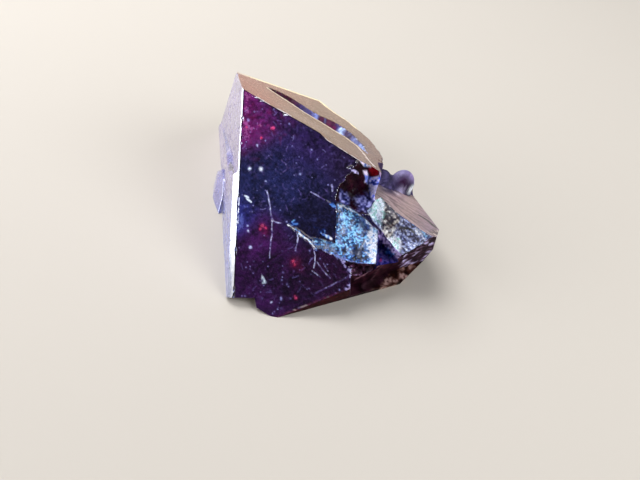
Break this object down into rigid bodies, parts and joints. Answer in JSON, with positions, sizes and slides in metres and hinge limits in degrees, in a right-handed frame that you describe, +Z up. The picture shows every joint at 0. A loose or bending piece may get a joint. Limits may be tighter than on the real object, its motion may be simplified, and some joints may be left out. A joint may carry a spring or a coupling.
{
  "type": "cuprite crystal",
  "caption": "Dark red cuprite crystal, the upper part of an octahedron with a grooved top face and shell-shaped breaks on its right side.",
  "frame": {"origin": "middle of the underside of the crystal's box, on the surface it rests on", "axes": "+Z up from the surface it rests on, -Y towards the large front face, +X towards the broken right side"},
  "size_m": [0.0132, 0.0174, 0.0079],
  "materials": {
    "cuprite": "polished"
  },
  "bodies": {
    "root": {"cuprite_crystal": "cuprite"}
  },
  "joints": []
}
